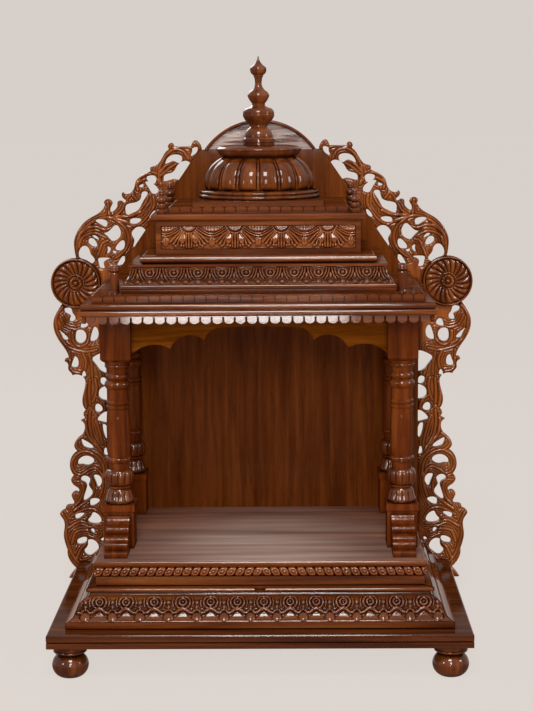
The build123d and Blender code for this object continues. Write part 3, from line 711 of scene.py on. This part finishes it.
def rope():
    """Half-round moulding cut as a run of beads, each in a leaf that turns round at the middle."""
    middle_y, middle_z, radius, half, turning_x = -165.0, 178.5, 8.9, 302.0, 4.0
    steps, spacing, back, cavity_reach, cavity_strength = 34, 0.85, 5.0, 4, 0.25
    turns = np.radians(np.linspace(-90, 90, steps))
    run = np.stack([middle_y - radius * np.cos(turns), middle_z + radius * np.sin(turns)], axis=1)
    base, normal, x, v = front_band(run, lambda y: half + 0 * y, spacing)
    pitch, crown, lean = 16.1, 14.0, 0.30
    along = np.abs(x - turning_x) + lean * (v - crown)
    t = (along / pitch) % 1.0
    leaf, leaf_cut, leaf_swell, leaf_power = np.abs(np.sin(math.pi * t)), 3.8, 1.5, 0.7
    height = -leaf_cut * (1 - np.clip(leaf * leaf_swell, 0, 1) ** leaf_power)
    a = (t - 0.5) * pitch
    bead_x, bead_v, bead_radius, bead_height, bead_sink = 0.6, crown + 0.8, 3.5, 2.4, 2.6
    moat_radius, moat_width, moat_depth, skin = 4.3, 1.1, 1.9, 0.1
    bead = bump(a, v, (bead_x, bead_v), (bead_radius, bead_radius), bead_height) - bead_sink
    far = np.hypot(a - bead_x, v - bead_v)
    moat = moat_depth * np.exp(-((far - moat_radius) / moat_width) ** 2)
    height = np.where(far < bead_radius, bead, height - moat) - skin
    piece = relief_band("rope_carving", base, normal, np.minimum(height, 0.0), back, relief_x,
                        reach=cavity_reach, strength=cavity_strength)
    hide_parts("rope_moulding")


# Turned forms with lobes or petals round them
def across_petal(angle, count):
    """0 in the middle of each of count petals round a turning, 1 where two meet."""
    return np.abs((angle * count / (2 * math.pi)) % 1.0 - 0.5) * 2


def turned_piece(name, place, radii, heights, relief, count, mat):
    """Turned mesh; relief(angle, height) is added to the radius. Angles count from the front."""
    angles = np.linspace(0, 2 * math.pi, count, endpoint=False)
    radii, heights = np.asarray(radii, float), np.asarray(heights, float)
    lift = relief(angles[:, None], heights[None, :])
    far = radii[None, :] + lift
    points = np.zeros((count, len(radii), 3))
    points[..., 0] = place[0] + far * np.sin(angles)[:, None]
    points[..., 1] = place[1] - far * np.cos(angles)[:, None]
    points[..., 2] = heights[None, :]
    return add_piece(name, points.reshape(-1, 3), closed_turning(count, len(radii)), mat,
                     cavity_of(lift, 3, 0.3, wrap=True))


# Dome: radii by height above its foot, first of the base ring and then of the lobed bowl
DOME_LOW, DOME_Y, DOME_LOBES, DOME_COLUMNS = 841.5, 84.0, 16, 432
RING_Z = (0, 0.8, 4, 7, 7.6, 8.4, 9, 12, 14.4, 15.2)
RING_R = (112, 114, 114.8, 113.6, 111, 111, 112.4, 113.2, 111, 106)
BOWL_Z = (15, 18, 33, 45, 54, 61, 66, 71, 76)
BOWL_R = (99, 100.4, 99.4, 96.6, 92.2, 86.8, 81.6, 75.0, 67.0)
BOWL_LOW, BOWL_TOP, BOWL_ROWS, BOWL_SMOOTHING = 15.4, 75.9, 34, 5


def dome_lobes(angle, height):
    """Bellied lobes with a thin lip between them, fading into the base ring."""
    belly_height, belly_width, lip_height, lip_width = 5.2, 0.86, 2.6, 0.10
    a = across_petal(angle, DOME_LOBES)
    up = height - DOME_LOW
    belly = belly_height * rounded(a, belly_width) * np.clip((up - 18.0) / 7.0, 0, 1) ** 0.5
    lip = lip_height * rounded(a - 1.0, lip_width)
    fade = np.clip((up - BOWL_LOW) / 4.0, 0, 1) ** 0.5
    return np.maximum(belly, lip) * fade * (up > 15.3)


def dome():
    z = np.linspace(BOWL_LOW, BOWL_TOP, BOWL_ROWS)
    r = np.interp(z, BOWL_Z, BOWL_R)
    edge = BOWL_SMOOTHING // 2
    box = np.ones(BOWL_SMOOTHING) / BOWL_SMOOTHING
    r[edge:-edge] = np.convolve(np.pad(r, edge, mode="edge"), box, mode="valid")[edge:-edge]
    piece = turned_piece("dome_carving", (0.0, DOME_Y), np.concatenate([RING_R, r]),
                         DOME_LOW + np.concatenate([RING_Z, z]), dome_lobes, DOME_COLUMNS,
                         relief_dome)
    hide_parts("dome")


def rosette(side, name):
    """A dish with a ring of fluted petals round a seeded button; heights stand out of its back."""
    count, petals, seed_count, swirl, swirl_from = 300, 20, 11, 0.010, 17
    centre_x, centre_z, back_y, edge_height = side * 374.0, 662.0, 250.0, 14.0
    petals_from, petals_long = 16.5, 29.0
    button_radius, lip_radius, lip_width = 15.8, 16.4, 1.5
    rim_from, rim_radius, rim_width = 45.6, 47.8, 2.3
    radii = np.concatenate([np.linspace(0.4, 45.5, 62), np.linspace(46.0, 50.0, 8)])
    r = radii[None, :]
    angles = np.linspace(0, 2 * math.pi, count, endpoint=False)[:, None]
    t = ((angles + swirl * (r - swirl_from)) * petals / (2 * math.pi)) % 1.0
    a = np.abs(t - 0.5) * 2
    along = np.clip((r - petals_from) / petals_long, 0, 1)
    petal = rounded(a, 0.90 + 0.06 * along)
    petal *= np.clip(np.sin(math.pi * along ** 1.35), 0, None) ** 0.45
    height = 16.0 + 5.0 * petal
    height += 1.1 * np.cos(2 * math.pi * t * 2) * petal * 0.35
    hub, collar = rounded(r, 4.6), rounded(r - 9.6, 3.6)
    seeds = collar * (0.75 + 0.25 * np.cos(angles * seed_count))
    height = np.where(r < button_radius, 16.5 + 5.5 * np.maximum(hub, 0.8 * seeds), height)
    height = np.maximum(height, 14.5 + 5.2 * rounded(r - lip_radius, lip_width))
    rim = 15.5 + 7.3 * rounded(r - rim_radius, rim_width)
    height = np.where(r > rim_from, rim + 0 * angles, height)
    height[:, -1] = edge_height
    rows = len(radii) + 1
    points = np.zeros((count, rows, 3))
    points[:, :-1, 0] = centre_x + r * np.sin(angles)
    points[:, :-1, 2] = centre_z + r * np.cos(angles)
    points[:, :-1, 1] = back_y - height
    points[:, -1] = points[:, -2]
    points[:, -1, 1] = back_y
    cavity = np.full((count, rows), LEVEL)
    cavity[:, :-1] = cavity_of(height, 3, 0.12, wrap=True)
    piece = add_piece("rosette_carving_" + name, points.reshape(-1, 3), closed_turning(count, rows),
                      relief_rosette, cavity)
    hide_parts("rosette_" + name)


# Petals cut round the bulb and the flared foot of each pillar, by height above its square foot
TURNING_LOW, PILLAR_PETALS, PILLAR_COLUMNS = 281.5, 12, 168
PILLAR_X, PILLAR_FRONT_Y, PILLAR_REAR_Y = 263.75, -55.0, 204.0
BULB_LOW, BULB_HIGH, BULB_ROWS = 35.2, 62.8, 22
FLARE_LOW, FLARE_HIGH, FLARE_ROWS = 3.5, 25.0, 18
FLARE_Z, FLARE_R = (3.5, 6, 14, 25), (26.3, 26.0, 23.2, 20.9)


def petal_sleeve(low, tall, stand, sink, wide, ends, power):
    def relief(angle, height):
        along = np.clip((height - TURNING_LOW - low) / tall, ends, 1 - ends)
        petal = stand * rounded(across_petal(angle, PILLAR_PETALS), wide) - sink
        return petal * np.sin(math.pi * along) ** power
    return relief


def pillar_petals(name, x, y):
    z = np.linspace(BULB_LOW, BULB_HIGH, BULB_ROWS)
    r = 19.2 + 7.0 * rounded(z - 49.0, 15.5)
    turned_piece(name + "_bulb", (x, y), r, TURNING_LOW + z,
                 petal_sleeve(BULB_LOW, 27.6, 1.9, 1.2, 0.88, 0.02, 0.6), PILLAR_COLUMNS,
                 relief_turned)
    z = np.linspace(FLARE_LOW, FLARE_HIGH, FLARE_ROWS)
    turned_piece(name + "_flare", (x, y), np.interp(z, FLARE_Z, FLARE_R), TURNING_LOW + z,
                 petal_sleeve(FLARE_LOW, 21.5, 1.6, 0.6, 0.85, 0.03, 0.5), PILLAR_COLUMNS,
                 relief_turned)


# Fretwork wings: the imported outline, its strokes rounded and grooved along their length
NEAREST_CHUNK = 3000


def outline_segments(node):
    """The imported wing's outline and holes, as segments of X and Z."""
    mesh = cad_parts[node].data
    mesh.calc_loop_triangles()
    points = np.array([v.co for v in mesh.vertices]) / MM
    triangles = np.array([t.vertices for t in mesh.loop_triangles])
    face_y = points[:, 1].min()
    flat = triangles[(np.abs(points[triangles][:, :, 1] - face_y) < 0.01).all(axis=1)]
    keys, index = np.unique(np.round(points[:, [0, 2]], 3), axis=0, return_inverse=True)
    index = index.reshape(-1)
    flat = index[flat]
    edges = np.sort(np.concatenate([flat[:, [0, 1]], flat[:, [1, 2]], flat[:, [2, 0]]]), axis=1)
    unique, counts = np.unique(edges, axis=0, return_counts=True)
    return keys[unique[counts == 1]]


def nearest_on(segments, spots):
    """Distance to the outline, nearest point on it, and whether each spot lies inside."""
    start, run = segments[:, 0], segments[:, 1] - segments[:, 0]
    length = np.maximum((run ** 2).sum(axis=1), 1e-12)
    z0, z1 = segments[:, 0, 1], segments[:, 1, 1]
    rise = np.where(np.abs(z1 - z0) < 1e-9, 1e-9, z1 - z0)
    far = np.empty(len(spots))
    foot = np.empty((len(spots), 2))
    inside = np.empty(len(spots), bool)
    for low in range(0, len(spots), NEAREST_CHUNK):
        part = spots[low:low + NEAREST_CHUNK]
        delta = part[:, None, :] - start[None]
        t = np.clip((delta * run[None]).sum(axis=2) / length[None], 0, 1)
        near = start[None] + t[..., None] * run[None]
        gap = ((part[:, None, :] - near) ** 2).sum(axis=2)
        best = gap.argmin(axis=1)
        rows = np.arange(len(part))
        far[low:low + NEAREST_CHUNK] = np.sqrt(gap[rows, best])
        foot[low:low + NEAREST_CHUNK] = near[rows, best]
        crosses = (z0[None] > part[:, 1:2]) != (z1[None] > part[:, 1:2])
        at = start[None, :, 0] + (part[:, 1:2] - z0[None]) / rise[None] * run[None, :, 0]
        hits = (crosses & (part[:, 0:1] < at)).sum(axis=1)
        inside[low:low + NEAREST_CHUNK] = hits % 2 == 1
    return far, foot, inside


# Midribs of the leaves of the right wings, read off the photograph: X from the middle, Z up
UPPER_STEMS = (
    ((368, 719), (370, 737), (365, 756), (353, 772), (338, 784), (319, 792), (301, 793),
     (284, 784), (270, 769), (265, 749), (271, 731), (282, 719), (293, 711)),
    ((365, 734), (360, 751), (347, 760), (331, 762), (320, 758), (311, 753)),
    ((364, 759), (348, 772), (331, 775), (315, 770), (301, 771), (293, 778)),
    ((307, 747), (318, 742), (324, 728), (331, 710)),
    ((303, 799), (304, 812), (306, 826)),
    ((295, 794), (280, 806), (272, 819), (264, 834), (256, 843)),
    ((293, 794), (275, 795), (258, 797), (241, 804)),
    ((287, 790), (264, 783), (247, 770)),
    ((286, 795), (258, 800), (238, 813), (227, 828), (227, 842)),
    ((289, 791), (263, 781), (243, 780), (223, 799), (213, 817), (214, 836)),
    ((260, 838), (251, 859), (241, 873), (224, 880), (208, 871), (198, 856)),
    ((245, 848), (246, 859), (236, 867), (222, 870), (208, 860)),
    ((198, 856), (202, 878), (200, 893), (193, 908), (182, 922), (168, 928), (152, 923),
     (144, 908)),
    ((173, 933), (154, 934), (136, 930)),
    ((199, 883), (189, 896), (178, 904), (167, 905)),
    ((197, 877), (184, 889), (171, 897), (161, 903)),
    ((194, 875), (182, 883), (171, 884)),
    ((257, 842), (252, 834), (245, 825)),
)
LOWER_STEMS = (
    ((401, 614), (414, 597), (416, 577), (408, 554), (395, 535), (377, 526), (356, 522),
     (335, 526)),
    ((407, 593), (397, 575), (377, 568), (361, 574)),
    ((383, 561), (382, 544), (369, 533), (353, 541), (348, 559)),
    ((363, 519), (357, 503), (359, 487), (364, 475)),
    ((350, 517), (346, 495), (345, 472)),
    ((343, 512), (335, 494), (328, 473), (324, 456)),
    ((391, 522), (390, 503), (385, 483), (370, 478)),
    ((350, 464), (352, 440), (351, 413)),
    ((358, 457), (362, 434), (359, 408)),
    ((339, 465), (337, 443), (345, 419)),
    ((337, 429), (326, 421), (320, 405), (328, 392), (338, 397)),
    ((351, 398), (353, 376), (349, 349), (337, 326), (324, 308)),
    ((360, 389), (361, 367), (355, 346), (343, 328)),
    ((340, 382), (333, 357), (327, 330)),
    ((365, 351), (380, 337), (380, 325), (370, 317)),
    ((360, 276), (374, 267), (388, 276), (391, 294), (377, 312), (357, 315), (337, 303),
     (327, 285), (325, 262)),
    ((356, 278), (342, 281), (330, 265), (329, 244), (335, 221), (344, 205)),
    ((387, 253), (374, 252), (368, 235), (375, 215), (386, 203)),
    ((352, 258), (347, 240), (353, 221), (368, 208), (389, 192)),
    ((415, 187), (404, 164), (407, 141), (399, 109), (387, 86), (372, 74)),
    ((394, 180), (364, 195), (342, 192), (329, 173)),
    ((401, 155), (378, 169), (358, 163), (334, 162)),
    ((395, 123), (386, 146), (363, 150), (345, 143)),
    ((387, 88), (378, 109), (368, 121)),
    ((381, 79), (358, 86), (342, 109)),
    ((383, 72), (402, 51)),
)


def eased(run, count=6):
    """Smooth line through the points of a run."""
    points = np.array([run[0]] + list(run) + [run[-1]], float)
    t = np.linspace(0, 1, count, endpoint=False)[:, None]
    pieces = []
    for p, q, u, w in zip(points, points[1:], points[2:], points[3:]):
        pieces.append(0.5 * (2 * q + (u - p) * t + (2 * p - 5 * q + 4 * u - w) * t ** 2
                             + (3 * q - p - 3 * u + w) * t ** 3))
    return np.concatenate(pieces + [points[-1:]])


def rib_distance(ribs, spots):
    lines = [eased(run) for run in ribs]
    segments = np.concatenate([np.stack([line[:-1], line[1:]], axis=1) for line in lines])
    return nearest_on(segments, spots)[0]


# Wing grid: cells this wide; spots this share of a cell outside the outline are taken in, spots
# this near it are moved onto it, and cells squeezed below this share of their area are left out
WING_STEP, TAKE_IN, SNAP, LEAST_AREA = 1.2, 0.72, 0.33, 0.06
# Veins beside each midrib: distance from it, width and share of the full cut
VEINS = ((3.5, 0.95, 1.0), (8.2, 1.0, 0.85), (13.0, 1.1, 0.7))
RIB_HALF, EDGE_ROUND, INNER = 3.5, 6.0, 2.5
VEIN_CUT, RIB_RISE, LEAF_SLOPE, SLOPE_REACH = 1.9, 1.3, 0.1, 20
WING_SKIN, WING_BACK = 0.1, 249.9


def wing_grid(segments):
    """Spots, their distance from the outline, and the quads of a grid fitted to the outline."""
    step = WING_STEP
    ends = segments.reshape(-1, 2)
    low, high = ends.min(axis=0) - step, ends.max(axis=0) + step
    columns, rows = (int(n) + 1 for n in (high - low) / step)
    gx, gz = np.meshgrid(low[0] + np.arange(columns) * step, low[1] + np.arange(rows) * step,
                         indexing="ij")
    spots = np.stack([gx.ravel(), gz.ravel()], axis=1)
    far, foot, inside = nearest_on(segments, spots)
    active = inside | (far < TAKE_IN * step)
    snapped = active & (~inside | (far < SNAP * step))
    spots = np.where(snapped[:, None], foot, spots)
    depth = np.where(snapped, 0.0, far)
    grid = np.arange(columns * rows).reshape(columns, rows)
    quads = np.stack([grid[:-1, :-1], grid[1:, :-1], grid[1:, 1:], grid[:-1, 1:]], axis=-1)
    quads = quads.reshape(-1, 4)
    quads = quads[active[quads].all(axis=1)]
    corner = spots[quads]
    diagonal_a, diagonal_b = corner[:, 2] - corner[:, 0], corner[:, 3] - corner[:, 1]
    area = 0.5 * (diagonal_a[:, 0] * diagonal_b[:, 1] - diagonal_a[:, 1] * diagonal_b[:, 0])
    quads = quads[area > LEAST_AREA * step * step]
    used, quads = np.unique(quads, return_inverse=True)
    return spots[used], depth[used], quads.reshape(-1, 4)


def wing(node, ribs):
    spots, depth, quads = wing_grid(outline_segments(node + "_right"))
    away = rib_distance(ribs, spots)
    swell = np.sqrt(1 - (1 - np.clip(depth / EDGE_ROUND, 0, 1)) ** 2)
    groove = sum(share * np.exp(-((away - place) / width) ** 2) for place, width, share in VEINS)
    rib = np.clip(1 - (away / RIB_HALF) ** 2, 0, None)
    inner = np.clip(depth / INNER, 0, 1)
    slope = LEAF_SLOPE * np.clip(away, 0, SLOPE_REACH)
    fall = (EDGE_ROUND * (1 - swell)
            + (RIB_RISE + VEIN_CUT * groove - RIB_RISE * rib + slope) * inner)
    # This cavity drives painted shade: darker in the veins and over the rounded edges, a little lighter
    # on the midrib
    cavity = 0.42 + 0.36 * groove * inner + 0.16 * (1 - swell) - 0.06 * rib
    count = len(spots)
    edges = np.concatenate([quads[:, [0, 1]], quads[:, [1, 2]], quads[:, [2, 3]], quads[:, [3, 0]]])
    first, counts = np.unique(np.sort(edges, axis=1), axis=0, return_index=True,
                              return_counts=True)[1:]
    border = edges[first[counts == 1]]
    for side, sign in (("right", 1), ("left", -1)):
        points = np.zeros((2 * count, 3))
        points[:count, 0] = points[count:, 0] = sign * spots[:, 0]
        points[:count, 2] = points[count:, 2] = spots[:, 1]
        points[:count, 1] = BACK + WING_SKIN + fall
        points[count:, 1] = WING_BACK
        walls = np.stack([border[:, 1], border[:, 0], border[:, 0] + count, border[:, 1] + count],
                         axis=1)
        faces = np.concatenate([quads, quads[:, ::-1] + count, walls])
        if sign < 0:
            faces = faces[:, ::-1]
        tint = np.concatenate([cavity, np.full(count, LEVEL)])
        piece = add_piece(node + "_carving_" + side, points, faces.tolist(), relief_wood, tint)
        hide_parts(node + "_" + side)


def crest_bead():
    """Rounded bead over the raised rim of the crest board."""
    half, rise, low, rim = 111.0, 59.0, 927.0, 6.0
    bead_out, bead_forward, bead_y, steps, count = 3.2, 3.6, 228.4, 90, 14
    radius = (half ** 2 + rise ** 2) / (2 * rise)
    centre = low + rise - radius
    far = radius - rim / 2
    start = math.asin((low - centre) / far)
    turns = np.linspace(start, math.pi - start, steps)
    around = np.linspace(0, 2 * math.pi, count, endpoint=False)
    points = np.zeros((steps, count, 3))
    out = far + bead_out * np.cos(around)[None, :]
    points[..., 0] = out * np.cos(turns)[:, None]
    points[..., 2] = centre + out * np.sin(turns)[:, None]
    points[..., 1] = bead_y - bead_forward * np.sin(around)[None, :]
    faces = []
    for i in range(steps - 1):
        for j in range(count):
            k = (j + 1) % count
            faces.append((i * count + j, i * count + k, (i + 1) * count + k, (i + 1) * count + j))
    faces.append(list(range(count))[::-1])
    faces.append([(steps - 1) * count + j for j in range(count)])
    add_piece("crest_bead", points.reshape(-1, 3), faces, carved_z)


for side_name, sign in (("left", -1), ("right", 1)):
    pillar_petals("pillar_front_petals_" + side_name, sign * PILLAR_X, PILLAR_FRONT_Y)
    pillar_petals("pillar_rear_petals_" + side_name, sign * PILLAR_X, PILLAR_REAR_Y)
ogee_carving()
frieze_carving()
panel_carving()
rope()
dome()
rosette(1, "right")
rosette(-1, "left")
wing("wing_lower", LOWER_STEMS)
wing("wing_upper", UPPER_STEMS)
crest_bead()
